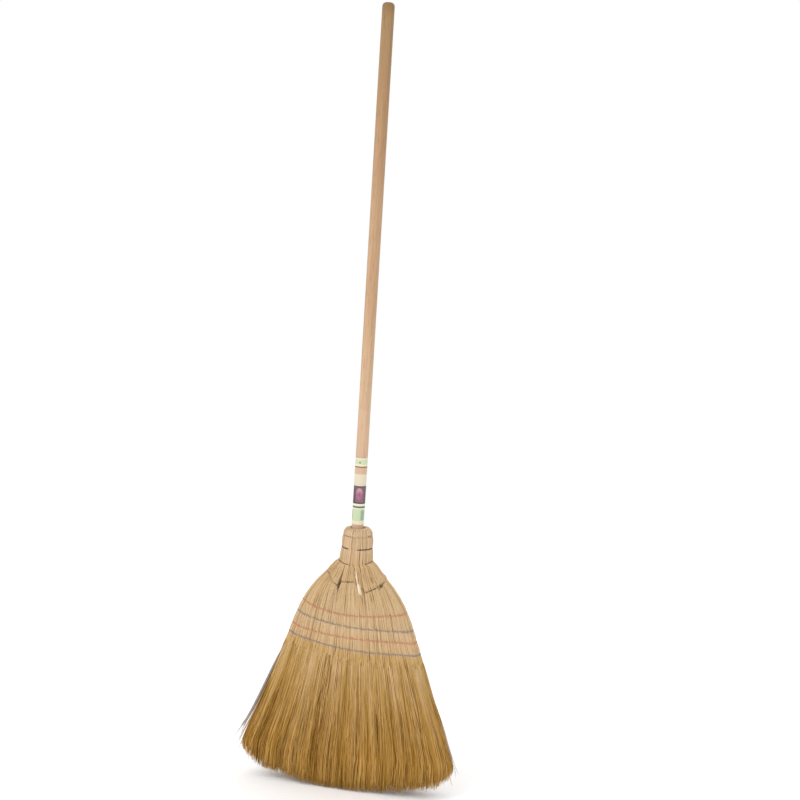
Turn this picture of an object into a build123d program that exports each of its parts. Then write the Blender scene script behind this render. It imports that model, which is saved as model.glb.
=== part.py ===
from build123d import *
import os

# Sewn straw broom. Millimetres. +Z runs up the handle, X is the width of the
# straw head and Y its thickness (front is -Y). The origin is at the bottom
# centre of the bristle tips.

# ---------------------------------------------------------------- dimensions
overall_length = 1420.0
handle_r = 11.0            # bare stick
shank_r = 10.8             # stick under the label and inside the straw
shank_top_z = 618.0        # where the stick steps down to the shank
handle_end_z = 342.0       # tapered lower end, inside the straw
taper_start_z = 374.0
taper_end_r = 4.0
handle_top_round = 7.0

label_bottom_z = 492.0
label_top_z = 615.0
label_thickness = 0.25

neck_top_z = 488.0
flex_z = 248.0             # line about which the free straw bends
flex_gap = 0.4
flex_slope_deg = 28.0      # clearance roof on top of the free straw

core_r = 16.0              # straw core in the neck
split_z = 390.0            # below this the core divides into core and shoulders

tie_wall_out = 0.9         # how far the neck binding stands out of the straw
tie_wall_in = 0.8          # how far it bites into the straw
thread_out = 0.7           # sewing twine, standing out of the straw
thread_in = 0.7            # sewing twine, pulled into the straw
thread_h = 1.4

# outline of the straw head: z, half width, half thickness, roundness exponent
outline = [
    (488.0, 22.5, 22.5, 2.0),
    (484.0, 26.0, 26.0, 2.0),
    (447.0, 28.0, 27.5, 2.0),
    (426.0, 30.0, 28.5, 2.0),
    (410.0, 43.0, 30.0, 2.1),
    (390.0, 62.0, 31.0, 2.3),
    (365.0, 83.0, 30.5, 2.6),
    (330.0, 101.5, 28.0, 3.0),
    (290.0, 117.0, 26.5, 3.0),
    (248.0, 132.5, 26.5, 3.0),
    (190.0, 152.5, 28.5, 3.0),
    (130.0, 174.5, 30.5, 3.0),
    (64.0, 198.5, 32.5, 3.0),
    (50.0, 200.0, 33.0, 3.0),
    (0.0, 200.0, 33.0, 3.0),
]
# the core inside the head: z, half width, half thickness
core_outline = [
    (488.0, core_r, core_r),
    (426.0, core_r, core_r),
    (410.0, 24.0, 16.0),
    (390.0, 37.0, 16.0),
    (365.0, 48.0, 15.0),
    (330.0, 59.0, 14.0),
    (290.0, 68.0, 13.0),
    (248.0, 77.0, 13.0),
]
# lower edge of the free straw: distance from the middle, height
tip_edge = [
    (0.0, 0.0), (30.0, 0.0), (72.0, 8.0), (107.0, 15.0), (140.0, 22.0),
    (170.0, 31.5), (188.0, 45.0), (195.0, 57.0), (199.6, 66.0), (215.0, 90.0),
]
centre_share = 0.36        # share of the half width taken by the centre sheaf
outer_shares = [0.36, 0.60, 0.80, 0.94, 1.0]
inner_shares = [0.36, 0.75, 1.0]

# sewn rows: points (x, z) along each row, the same on the front and the back
rows = {
    "stitch_row_1_red": [
        (-160.0, 366.0), (-115.0, 352.0), (-100.0, 347.0), (-88.6, 343.3), (-70.9, 337.6), (-45.5, 331.6),
        (-14.0, 328.2), (17.0, 328.0), (47.6, 330.8), (78.0, 334.8), (95.0, 336.6), (120.0, 338.0), (160.0, 339.0),
    ],
    "stitch_row_2_blue": [
        (-160.0, 339.0), (-115.0, 326.0), (-98.0, 321.2), (-73.0, 315.4), (-38.0, 309.3), (-4.0, 306.2),
        (30.0, 305.2), (67.0, 305.8), (95.0, 306.4), (125.0, 306.6), (160.0, 306.6),
    ],
    "stitch_row_3_red": [
        (-160.0, 308.0), (-120.0, 299.0), (-105.0, 296.0), (-75.0, 291.6), (-40.0, 287.5), (-5.5, 285.4),
        (32.0, 285.2), (69.0, 286.0), (95.0, 286.2), (118.0, 285.4), (160.0, 284.0),
    ],
    "stitch_row_4_blue": [
        (-160.0, 292.0), (-127.0, 283.0), (-102.0, 278.0), (-74.0, 272.8), (-42.0, 267.8), (-4.0, 264.0),
        (33.0, 262.6), (76.0, 263.4), (100.0, 264.0), (126.0, 263.8), (160.0, 263.4),
    ],
}
stitch_pitch = 22.0

# ------------------------------------------------------------------- helpers


def between(table, z):
    """Values of a table at height z, straight between its rows."""
    if z >= table[0][0]:
        return table[0][1:]
    for hi, lo in zip(table, table[1:]):
        if z >= lo[0]:
            k = (z - lo[0]) / (hi[0] - lo[0])
            return tuple(b + (a - b) * k for a, b in zip(hi[1:], lo[1:]))
    return table[-1][1:]


def edge_point(share, w, t, n):
    """Point of the outline at a share of its half width, on the back (+Y)."""
    s = min(abs(share), 1.0)
    y = t * max(0.0, 1.0 - s**n) ** (1.0 / n)
    return (w * share, y)


def outer_at(z, grow=0.0):
    w, t, n = between(outline, z)
    return w + grow, t + grow, n


def inner_at(z):
    w, t = between(core_outline, z)
    n = between(outline, z)[2]
    return w, t, n


def surface_y(x, z):
    """Half thickness of the faceted head at x, at height z."""
    w, t, n = outer_at(z)
    corners = [edge_point(s, w, t, n) for s in [0.0] + outer_shares]
    for (x0, y0), (x1, y1) in zip(corners, corners[1:]):
        if abs(x) <= x1:
            return y0 + (y1 - y0) * (abs(x) - x0) / (x1 - x0)
    return 0.0


def row_height(line, x):
    """Height of a sewn row at x."""
    for (x0, z0), (x1, z1) in zip(line, line[1:]):
        if x0 <= x <= x1:
            return z0 + (z1 - z0) * (x - x0) / (x1 - x0)
    return line[-1][1]


def side(points, front):
    return [(x, -y) if front else (x, y) for x, y in points]


def centre_section(z, front):
    outer = [edge_point(s, *outer_at(z)) for s in (-centre_share, 0.0, centre_share)]
    inner = [edge_point(s, *inner_at(z)) for s in (centre_share, 0.0, -centre_share)]
    return side(outer + inner, front)


def wing_section(z, sign, front):
    outer = [edge_point(sign * s, *outer_at(z)) for s in outer_shares]
    inner = [edge_point(sign * s, *inner_at(z)) for s in reversed(inner_shares)]
    return side(outer + inner, front)


def ring_section(z, grow=0.0):
    back = [edge_point(-s, *outer_at(z, grow)) for s in reversed(outer_shares)]
    back += [edge_point(0.0, *outer_at(z, grow))]
    back += [edge_point(s, *outer_at(z, grow)) for s in outer_shares]
    front = [(x, -y) for x, y in reversed(back[1:-1])]
    return back + front


def core_ring_section(z):
    back = [edge_point(-s, *inner_at(z)) for s in reversed(inner_shares)]
    back += [edge_point(0.0, *inner_at(z))]
    back += [edge_point(s, *inner_at(z)) for s in inner_shares]
    front = [(x, -y) for x, y in reversed(back[1:-1])]
    return back + front


def core_middle_section(z):
    back = [edge_point(s, *inner_at(z)) for s in (-centre_share, 0.0, centre_share)]
    return back + [(x, -y) for x, y in reversed(back)]


def shoulder_section(z, sign):
    back = [edge_point(sign * s, *inner_at(z)) for s in inner_shares]
    return back + [(x, -y) for x, y in reversed(back[:-1])]


def free_centre_section(z, front):
    w, t, n = outer_at(z)
    outer = [edge_point(s, w, t, n) for s in (-centre_share, 0.0, centre_share)]
    return side(outer + [(w * centre_share, 0.0), (-w * centre_share, 0.0)], front)


def free_wing_section(z, sign, front):
    w, t, n = outer_at(z)
    outer = [edge_point(sign * s, w, t, n) for s in outer_shares]
    return side(outer + [(sign * w * centre_share, 0.0)], front)


head_levels = [row[0] for row in outline if row[0] >= flex_z]
core_levels = [row[0] for row in core_outline if row[0] >= split_z]
lower_core_levels = [row[0] for row in core_outline if row[0] <= split_z]
free_levels = [row[0] for row in outline if row[0] <= flex_z]

os.makedirs("parts", exist_ok=True)

# -------------------------------------------------------------------- handle
with BuildPart() as handle_shaft:
    with BuildSketch(Plane.XZ):
        with BuildLine():
            Polyline(
                (0, handle_end_z),
                (taper_end_r, handle_end_z),
                (shank_r, taper_start_z),
                (shank_r, shank_top_z),
                (handle_r, shank_top_z),
                (handle_r, overall_length),
                (0, overall_length),
                close=True,
            )
        make_face()
    revolve(axis=Axis.Z)
    fillet(
        handle_shaft.edges().filter_by(GeomType.CIRCLE).group_by(Axis.Z)[-1],
        radius=handle_top_round,
    )
handle_shaft.part.label = "handle_shaft"
export_step(handle_shaft.part, "parts/handle_shaft.step")

with BuildPart() as handle_label:
    with BuildSketch(Plane.XY.offset(label_bottom_z)):
        Circle(shank_r + label_thickness)
        Circle(shank_r, mode=Mode.SUBTRACT)
    extrude(amount=label_top_z - label_bottom_z)
handle_label.part.label = "handle_label"
export_step(handle_label.part, "parts/handle_label.step")

# tacks, driven sideways into the stick inside the neck
tack_shank_r = 0.9
tack_head_r = 2.6
tack_head_h = 0.9
tack_tip_x = 3.0

with BuildPart() as binding_tack_upper:
    with BuildSketch(Plane.YZ.offset(tack_tip_x)):
        with Locations((0, 468.0)):
            Circle(tack_shank_r)
    extrude(amount=shank_r + 0.2 - tack_tip_x)
    with BuildSketch(Plane.YZ.offset(shank_r + 0.2)):
        with Locations((0, 468.0)):
            Circle(tack_head_r)
    extrude(amount=tack_head_h)
binding_tack_upper.part.label = "binding_tack_upper"
export_step(binding_tack_upper.part, "parts/binding_tack_upper.step")

with BuildPart() as binding_tack_lower:
    with BuildSketch(Plane.YZ.offset(-tack_tip_x)):
        with Locations((0, 432.0)):
            Circle(tack_shank_r)
    extrude(amount=-(shank_r + 0.2 - tack_tip_x))
    with BuildSketch(Plane.YZ.offset(-shank_r - 0.2)):
        with Locations((0, 432.0)):
            Circle(tack_head_r)
    extrude(amount=-tack_head_h)
binding_tack_lower.part.label = "binding_tack_lower"
export_step(binding_tack_lower.part, "parts/binding_tack_lower.step")

# twine wound round the core straw, five turns side by side
with BuildPart() as inner_binding:
    with BuildSketch(Plane.XZ):
        with Locations([(core_r - 0.1, 451.0 + 1.8 * i) for i in range(5)]):
            Circle(1.0)
    revolve(axis=Axis.Z)
inner_binding.part.label = "inner_binding"
export_step(inner_binding.part, "parts/inner_binding.step")

# ------------------------------------------------------------ core and sides
with BuildPart() as core_bundle:
    for z in core_levels:
        with BuildSketch(Plane.XY.offset(z)):
            with BuildLine():
                Polyline(*core_ring_section(z), close=True)
            make_face()
    loft(ruled=True)
    for z in lower_core_levels:
        with BuildSketch(Plane.XY.offset(z)):
            with BuildLine():
                Polyline(*core_middle_section(z), close=True)
            make_face()
    loft(ruled=True)
    add(handle_shaft.part, mode=Mode.SUBTRACT)
core_bundle.part.label = "core_bundle"
export_step(core_bundle.part, "parts/core_bundle.step")

for name, sign in (("shoulder_bundle_left", -1), ("shoulder_bundle_right", 1)):
    with BuildPart() as shoulder:
        for z in lower_core_levels:
            with BuildSketch(Plane.XY.offset(z)):
                with BuildLine():
                    Polyline(*shoulder_section(z, sign), close=True)
                make_face()
        loft(ruled=True)
    shoulder.part.label = name
    export_step(shoulder.part, f"parts/{name}.step")

# -------------------------------------------------- cover straw, neck to hem
for face, front in (("front", True), ("back", False)):
    with BuildPart() as sheaf_centre:
        for z in head_levels:
            with BuildSketch(Plane.XY.offset(z)):
                with BuildLine():
                    Polyline(*centre_section(z, front), close=True)
                make_face()
        loft(ruled=True)
    sheaf_centre.part.label = f"outer_sheaf_{face}_center"
    export_step(sheaf_centre.part, f"parts/outer_sheaf_{face}_center.step")

    for hand, sign in (("left", -1), ("right", 1)):
        with BuildPart() as sheaf_wing:
            for z in head_levels:
                with BuildSketch(Plane.XY.offset(z)):
                    with BuildLine():
                        Polyline(*wing_section(z, sign, front), close=True)
                    make_face()
            loft(ruled=True)
        sheaf_wing.part.label = f"outer_sheaf_{face}_{hand}"
        export_step(sheaf_wing.part, f"parts/outer_sheaf_{face}_{hand}.step")

# ----------------------------------------------------------------- neck ties
for name, z_mid in (
    ("neck_tie_upper", 473.0),
    ("neck_tie_middle", 450.0),
    ("neck_tie_lower", 423.0),
):
    with BuildPart() as tie:
        for z in (z_mid - 1.2, z_mid + 1.2):
            with BuildSketch(Plane.XY.offset(z)):
                with BuildLine():
                    Polyline(*ring_section(z, tie_wall_out), close=True)
                make_face()
        loft(ruled=True)
        for z in (z_mid - 1.2, z_mid + 1.2):
            with BuildSketch(Plane.XY.offset(z)):
                with BuildLine():
                    Polyline(*ring_section(z, -tie_wall_in), close=True)
                make_face()
        loft(ruled=True, mode=Mode.SUBTRACT)
    tie.part.label = name
    export_step(tie.part, f"parts/{name}.step")

# ----------------------------------------------- cord across the shoulders
# one closed zigzag round the head: edge, knot, level run, gap, knot, edge, and
# the same across the back
cord_r = 0.9
joint_r = 1.0              # rounds the corner between two runs
knot_r = 2.4
cord_route = [
    (-50.1, 402.0), (-41.0, 396.0), (-34.0, 385.5), (-24.0, 380.5), (-19.0, 389.0),
    (5.0, 391.5), (27.0, 373.5), (53.0, 387.5), (58.6, 393.6),
]
knots = [(-24.0, 380.5), (53.0, 387.5)]
cord_steps = 3


def cord_point(x, z, facing):
    return Vector(x, facing * (surface_y(x, z) + 0.2), z)


with BuildPart() as cord:
    for facing in (-1.0, 1.0):
        path = [cord_point(*cord_route[0], facing)]
        for (x0, z0), (x1, z1) in zip(cord_route, cord_route[1:]):
            for k in range(1, cord_steps + 1):
                f = k / cord_steps
                path.append(cord_point(x0 + (x1 - x0) * f, z0 + (z1 - z0) * f, facing))
        for start, end in zip(path, path[1:]):
            with BuildSketch(Plane(origin=start, z_dir=end - start)):
                Circle(cord_r)
            extrude(amount=(end - start).length)
            with Locations(start, end):
                Sphere(joint_r)
        for x, z in knots:
            with Locations(cord_point(x, z, facing)):
                Sphere(knot_r)
cord.part.label = "shoulder_cord"
export_step(cord.part, "parts/shoulder_cord.step")

# ---------------------------------------------------------------- sewn rows
for name, line in rows.items():
    z_top = max(z for _, z in line) + 2.0
    z_base = min(z for _, z in line) - 2.0
    levels = [z_top] + [z for z in head_levels if z_base < z < z_top] + [z_base]
    upper = [(x, z + thread_h / 2) for x, z in line]
    lower = [(x, z - thread_h) for x, z in reversed(upper)]
    with BuildPart() as row:
        # twine round the whole head
        for z in levels:
            with BuildSketch(Plane.XY.offset(z)):
                with BuildLine():
                    Polyline(*ring_section(z, thread_out), close=True)
                make_face()
        loft(ruled=True)
        for z in levels:
            with BuildSketch(Plane.XY.offset(z)):
                with BuildLine():
                    Polyline(*ring_section(z, -thread_in), close=True)
                make_face()
        loft(ruled=True, mode=Mode.SUBTRACT)
        with BuildSketch(Plane.XZ):
            with BuildLine():
                Polyline(*(upper + lower), close=True)
            make_face()
        extrude(amount=60.0, both=True, mode=Mode.INTERSECT)
        # stitches through the head
        w_row = min(outer_at(row_height(line, side_x))[0] for side_x in (-100.0, 100.0))
        count = int((w_row - 16.0) // stitch_pitch)
        for i in range(-count, count + 1):
            x = i * stitch_pitch
            z = row_height(line, x)
            with BuildSketch(Plane.XZ):
                with Locations((x, z)):
                    Circle(0.6)
            extrude(amount=surface_y(x, z), both=True)
    row.part.label = name
    export_step(row.part, f"parts/{name}.step")

# --------------------------------------------------------------- free straw
# both halves are cut to the tip edge below, and above to a roof that clears
# the sewn head while the straw bends to and fro
edge_right = [(x, z) for x, z in tip_edge]
edge_left = [(-x, z) for x, z in reversed(tip_edge[1:])]
tip_profile = edge_left + edge_right + [(215.0, 300.0), (-215.0, 300.0)]
roof_reach = 40.0
roof_drop = roof_reach * 0.5317    # tan of flex_slope_deg
roof_profile = [
    (0.0, flex_z - flex_gap),
    (roof_reach, flex_z - flex_gap - roof_drop),
    (roof_reach, -10.0),
    (-roof_reach, -10.0),
    (-roof_reach, flex_z - flex_gap - roof_drop),
]

for face, front in (("front", True), ("back", False)):
    for hand, sign in (("left", -1), ("center", 0), ("right", 1)):
        with BuildPart() as bristles:
            for z in free_levels:
                with BuildSketch(Plane.XY.offset(z)):
                    with BuildLine():
                        if sign:
                            Polyline(*free_wing_section(z, sign, front), close=True)
                        else:
                            Polyline(*free_centre_section(z, front), close=True)
                    make_face()
            loft(ruled=True)
            with BuildSketch(Plane.XZ):
                with BuildLine():
                    Polyline(*tip_profile, close=True)
                make_face()
            extrude(amount=60.0, both=True, mode=Mode.INTERSECT)
            with BuildSketch(Plane.YZ):
                with BuildLine():
                    Polyline(*roof_profile, close=True)
                make_face()
            extrude(amount=250.0, both=True, mode=Mode.INTERSECT)
        bristles.part.label = f"bristles_{face}_{hand}"
        export_step(bristles.part, f"parts/bristles_{face}_{hand}.step")
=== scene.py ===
import bpy
import math

import numpy as np
from mathutils import Matrix, Vector


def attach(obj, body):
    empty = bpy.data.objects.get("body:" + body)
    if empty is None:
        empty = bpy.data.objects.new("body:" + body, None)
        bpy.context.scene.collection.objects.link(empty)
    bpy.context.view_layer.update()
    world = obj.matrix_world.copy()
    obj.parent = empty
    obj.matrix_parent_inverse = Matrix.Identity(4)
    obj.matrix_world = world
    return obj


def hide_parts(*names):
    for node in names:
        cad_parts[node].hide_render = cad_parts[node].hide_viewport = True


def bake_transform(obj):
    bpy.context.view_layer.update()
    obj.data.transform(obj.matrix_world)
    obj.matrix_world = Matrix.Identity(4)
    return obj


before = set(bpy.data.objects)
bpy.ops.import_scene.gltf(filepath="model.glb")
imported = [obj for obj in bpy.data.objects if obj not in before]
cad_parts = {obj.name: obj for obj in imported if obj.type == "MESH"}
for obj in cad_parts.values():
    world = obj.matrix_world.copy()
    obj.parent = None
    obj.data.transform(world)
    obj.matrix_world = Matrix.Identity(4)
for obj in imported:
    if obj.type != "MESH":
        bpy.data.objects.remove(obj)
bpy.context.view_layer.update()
rng = np.random.default_rng(20260349)

MM = 0.001
LENGTH = 1.420
FLEX_Z = 0.248

# ----------------------------------------------------------------- camera
AZ, EL, DIST = 13.0, 8.0, 3.0
ROLL, FOCAL_PX, AIM_X, AIM_Z = 3.56745, 1667.697, 0.0626028, 0.0134592


def place_camera():
    a, e = math.radians(AZ), math.radians(EL)
    back = np.array([math.sin(a) * math.cos(e), -math.cos(a) * math.cos(e), math.sin(e)])
    centre = np.array([0, 0, LENGTH / 2])
    eye = centre + back * DIST
    right0 = np.array([math.cos(a), math.sin(a), 0])
    up0 = np.cross(back, right0)
    aim = centre + right0 * AIM_X + up0 * AIM_Z
    fwd = (aim - eye) / np.linalg.norm(aim - eye)
    right = np.cross(fwd, [0, 0, 1])
    right /= np.linalg.norm(right)
    up = np.cross(right, fwd)
    r = math.radians(ROLL)
    R = right * math.cos(r) + up * math.sin(r)
    U = -right * math.sin(r) + up * math.cos(r)
    data = bpy.data.cameras.new("camera")
    data.sensor_width = 36.0
    data.lens = FOCAL_PX * 36.0 / 800.0
    data.clip_end = 100.0
    cam = bpy.data.objects.new("camera", data)
    bpy.context.scene.collection.objects.link(cam)
    m = Matrix.Identity(4)
    for i in range(3):
        m[i][0], m[i][1], m[i][2], m[i][3] = R[i], U[i], -fwd[i], eye[i]
    cam.matrix_world = m
    bpy.context.scene.camera = cam


place_camera()

# -------------------------------------------------------------- materials


def lin(hexcode, gain=1.0):
    c = [int(hexcode[i:i + 2], 16) / 255 for i in (0, 2, 4)]
    c = [x / 12.92 if x <= 0.04045 else ((x + 0.055) / 1.055) ** 2.4 for x in c]
    if not isinstance(gain, tuple):
        gain = (gain, gain, gain)
    return tuple(min(1.0, x * g) for x, g in zip(c, gain)) + (1.0,)


class Nodes:
    """A small helper for building a node tree."""

    def __init__(self, name, roughness=0.6, specular=0.3):
        self.mat = bpy.data.materials.new(name)
        self.mat.use_nodes = True
        self.t = self.mat.node_tree
        self.bsdf = self.t.nodes["Principled BSDF"]
        self.bsdf.inputs["Roughness"].default_value = roughness
        self.bsdf.inputs["Specular IOR Level"].default_value = specular

    def node(self, kind, **props):
        n = self.t.nodes.new(kind)
        for k, v in props.items():
            setattr(n, k, v)
        return n

    def link(self, a, b):
        self.t.links.new(a, b)

    def value(self, target, v):
        if hasattr(v, "is_output") or isinstance(v, bpy.types.NodeSocket):
            self.link(v, target)
        else:
            target.default_value = v

    def math(self, op, a, b=0.0, clamp=False):
        n = self.node("ShaderNodeMath", operation=op, use_clamp=clamp)
        self.value(n.inputs[0], a)
        self.value(n.inputs[1], b)
        return n.outputs[0]

    def mix(self, blend, fac, a, b):
        n = self.node("ShaderNodeMix", data_type="RGBA", blend_type=blend)
        self.value(n.inputs[0], fac)
        self.value(n.inputs[6], a)
        self.value(n.inputs[7], b)
        return n.outputs[2]

    def ramp(self, fac, stops, mode="LINEAR"):
        n = self.node("ShaderNodeValToRGB")
        n.color_ramp.interpolation = mode
        els = n.color_ramp.elements
        while len(els) > 1:
            els.remove(els[-1])
        els[0].position, els[0].color = stops[0]
        for p, c in stops[1:]:
            e = els.new(p)
            e.color = c
        self.link(fac, n.inputs[0])
        return n.outputs[0]

    def noise(self, vec, scale=1.0, detail=2.0, rough=0.5):
        n = self.node("ShaderNodeTexNoise")
        n.inputs["Scale"].default_value = scale
        n.inputs["Detail"].default_value = detail
        n.inputs["Roughness"].default_value = rough
        self.link(vec, n.inputs["Vector"])
        return n.outputs["Fac"]

    def mapped(self, vec, scale, loc=(0, 0, 0)):
        n = self.node("ShaderNodeMapping")
        n.inputs["Scale"].default_value = scale
        n.inputs["Location"].default_value = loc
        self.link(vec, n.inputs["Vector"])
        return n.outputs[0]

    def uv(self):
        return self.node("ShaderNodeUVMap", uv_map="OFBake").outputs[0]

    def obj(self):
        return self.node("ShaderNodeTexCoord").outputs["Object"]

    def xyz(self, vec):
        n = self.node("ShaderNodeSeparateXYZ")
        self.link(vec, n.inputs[0])
        return n.outputs

    def rng(self, v, a, b, c, d, smooth=False):
        n = self.node("ShaderNodeMapRange", clamp=True)
        if smooth:
            n.interpolation_type = "SMOOTHSTEP"
        self.link(v, n.inputs[0])
        for i, x in enumerate((a, b, c, d)):
            n.inputs[i + 1].default_value = x
        return n.outputs[0]

    def bump(self, height, strength, distance):
        n = self.node("ShaderNodeBump")
        n.inputs["Strength"].default_value = strength
        n.inputs["Distance"].default_value = distance
        self.link(height, n.inputs["Height"])
        self.link(n.outputs[0], self.bsdf.inputs["Normal"])

    def base(self, colour):
        self.value(self.bsdf.inputs["Base Color"], colour)


UV_TOP = 0.5   # straw v runs from the floor to this height


def straw_material(name, gain=1.0):
    """Dried straw. u picks the straw's tone and v is its height."""
    m = Nodes(name, 0.55, 0.35)
    uv = m.uv()
    u, v, _ = m.xyz(uv)
    z = lambda mm: mm / 500.0
    g = lambda r, gr, b_: (gain * r, gain * gr, gain * b_)
    height = m.ramp(v, [
        (z(0), lin("A67D3C", g(1.60, 1.66, 1.52))),
        (z(60), lin("B48B49", g(1.32, 1.27, 1.05))),
        (z(140), lin("BC9351", g(1.06, 1.04, 1.00))),
        (z(215), lin("C6A162", g(1.00, 0.97, 1.02))),
        (z(252), lin("CFAD70", g(0.96, 0.92, 0.98))),
        (z(260), lin("D3B378", g(0.95, 0.90, 0.98))),
        (z(265), lin("DCC08A", g(0.92, 0.85, 0.95))),
        (z(300), lin("DFC592", g(0.90, 0.83, 0.93))),
        (z(370), lin("DDC18D", g(0.87, 0.82, 0.89))),
        (z(415), lin("D5B380", g(0.93, 0.92, 1.02))),
        (z(450), lin("CEAA78", g(1.08, 1.16, 1.54))),
        (z(489), lin("CCA877", g(1.08, 1.18, 1.56))),
    ])
    # the sewn straw is even; the free straw runs from brown to a greyer, lighter straw
    sewn = m.ramp(u, [
        (0.00, (0.40, 0.34, 0.25, 1)),
        (0.12, (0.64, 0.57, 0.45, 1)),
        (0.28, (0.78, 0.74, 0.65, 1)),
        (0.48, (0.86, 0.85, 0.81, 1)),
        (0.66, (0.89, 0.905, 0.90, 1)),
        (0.80, (0.92, 0.94, 0.96, 1)),
        (0.88, (0.90, 0.81, 0.70, 1)),
        (0.94, (0.83, 0.87, 0.74, 1)),
        (1.00, (0.83, 0.87, 0.74, 1)),
    ])
    free = m.ramp(u, [
        (0.00, (0.27, 0.20, 0.07, 1)),
        (0.12, (0.46, 0.36, 0.10, 1)),
        (0.28, (0.66, 0.57, 0.23, 1)),
        (0.48, (0.82, 0.79, 0.54, 1)),
        (0.66, (0.93, 0.96, 0.93, 1)),
        (0.80, (1.07, 1.17, 1.68, 1)),
        (0.88, (1.04, 0.98, 1.00, 1)),
        (0.94, (0.95, 1.03, 0.92, 1)),
        (1.00, (0.95, 1.03, 0.92, 1)),
    ])
    tone = m.mix("MIX", m.rng(v, z(232), z(262), 0.0, 1.0), free, sewn)
    colour = m.mix("MULTIPLY", 1.0, height, tone)
    streak = m.noise(m.mapped(uv, (60.0, 26.0, 1.0)), 1.0, 3.0, 0.6)
    shade = m.rng(streak, 0.25, 0.75, 0.80, 1.0)
    grey = m.node("ShaderNodeCombineColor")
    for i in range(3):
        m.link(shade, grey.inputs[i])
    colour = m.mix("MULTIPLY", 1.0, colour, grey.outputs[0])
    spots = m.noise(m.mapped(uv, (180.0, 90.0, 1.0), (3.0, 7.0, 0.0)), 1.0, 1.0)
    spot = m.rng(spots, 0.68, 0.76, 0.0, 0.45, True)
    colour = m.mix("MIX", spot, colour, lin("8A6335"))
    # straws with u between 0.834 and 0.852 are whitened: partly the pale straw's own colour, partly a painted highlight
    pale_and_highlight = m.math("MULTIPLY", m.rng(u, 0.832, 0.834, 0.0, 1.0), m.rng(u, 0.852, 0.854, 0.9, 0.0))
    colour = m.mix("MULTIPLY", pale_and_highlight, colour, (1.42, 1.86, 2.80, 1))
    colour = m.mix("MIX", m.rng(u, 0.955, 0.963, 0.0, 0.92), colour, lin("A9A5A2"))
    m.base(colour)
    m.link(m.rng(streak, 0.2, 0.8, 0.48, 0.66), m.bsdf.inputs["Roughness"])
    m.bump(streak, 0.25, 0.0004)
    return m.mat


def twine_material(name, dark, light, fuzz=0.35):
    """Twisted twine. u runs round a ply and v along it."""
    m = Nodes(name, 0.78, 0.2)
    uv = m.uv()
    u, v, _ = m.xyz(uv)
    fibre = m.noise(m.mapped(uv, (9.0, 60.0, 1.0)), 1.0, 4.0, 0.65)
    worn = m.noise(m.mapped(uv, (1.0, 9.0, 1.0), (5, 2, 0)), 1.0, 2.0)
    f = m.rng(fibre, 0.3, 0.7, 0.0, 1.0)
    w = m.rng(worn, 0.35, 0.7, 0.0, fuzz)
    colour = m.mix("MIX", f, dark, light)
    colour = m.mix("MIX", w, colour, lin("D8BE92"))
    m.base(colour)
    m.bump(fibre, 0.4, 0.0003)
    return m.mat


def wood_material():
    m = Nodes("handle_wood", 0.5, 0.35)
    co = m.obj()
    x, y, z = m.xyz(co)
    height = m.rng(z, 0.5, 1.42, 0.0, 1.0)
    base = m.ramp(height, [
        (0.0, lin("C6A78C", 1.04)), (0.13, lin("C6A78C", 1.04)), (0.226, lin("C9AA8C", 1.04)), (0.42, lin("B99776", 1.04)),
        (0.615, lin("B29170", 1.04)), (0.81, lin("A3805D", 1.04)), (0.97, lin("967953", 1.04)),
        (1.0, lin("826340")),
    ])
    grain = m.noise(m.mapped(co, (160.0, 160.0, 4.5)), 1.0, 5.0, 0.62)
    bands = m.noise(m.mapped(co, (42.0, 42.0, 1.6), (2, 5, 1)), 1.0, 3.0, 0.5)
    pores = m.noise(m.mapped(co, (900.0, 900.0, 30.0)), 1.0, 2.0, 0.5)
    fleck = m.noise(m.mapped(co, (420.0, 420.0, 70.0), (4, 4, 9)), 1.0, 2.0, 0.5)
    g = m.ramp(m.rng(grain, 0.33, 0.68, 0.0, 1.0), [(0.0, (1.03, 1.03, 1.03, 1)), (1.0, (0.84, 0.79, 0.73, 1))])
    b = m.ramp(m.rng(bands, 0.35, 0.7, 0.0, 1.0), [(0.0, (0.95, 0.94, 0.92, 1)), (1.0, (1.06, 1.07, 1.09, 1))])
    p = m.ramp(m.rng(pores, 0.56, 0.72, 0.0, 1.0), [(0.0, (1, 1, 1, 1)), (1.0, (0.74, 0.68, 0.62, 1))])
    f = m.ramp(m.rng(fleck, 0.64, 0.72, 0.0, 1.0), [(0.0, (1, 1, 1, 1)), (1.0, (0.86, 0.80, 0.74, 1))])
    colour = base
    for layer in (g, b, p, f):
        colour = m.mix("MULTIPLY", 1.0, colour, layer)
    scuff = m.noise(m.mapped(co, (60.0, 60.0, 22.0), (9, 1, 3)), 1.0, 3.0, 0.6)
    s = m.rng(scuff, 0.64, 0.72, 0.0, 0.22)
    colour = m.mix("MIX", s, colour, lin("8A6C4E"))
    m.base(colour)
    m.link(m.rng(grain, 0.3, 0.7, 0.42, 0.60), m.bsdf.inputs["Roughness"])
    m.bump(grain, 0.25, 0.0003)
    return m.mat


LABEL_Z0, LABEL_Z1 = 0.492, 0.615


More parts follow.
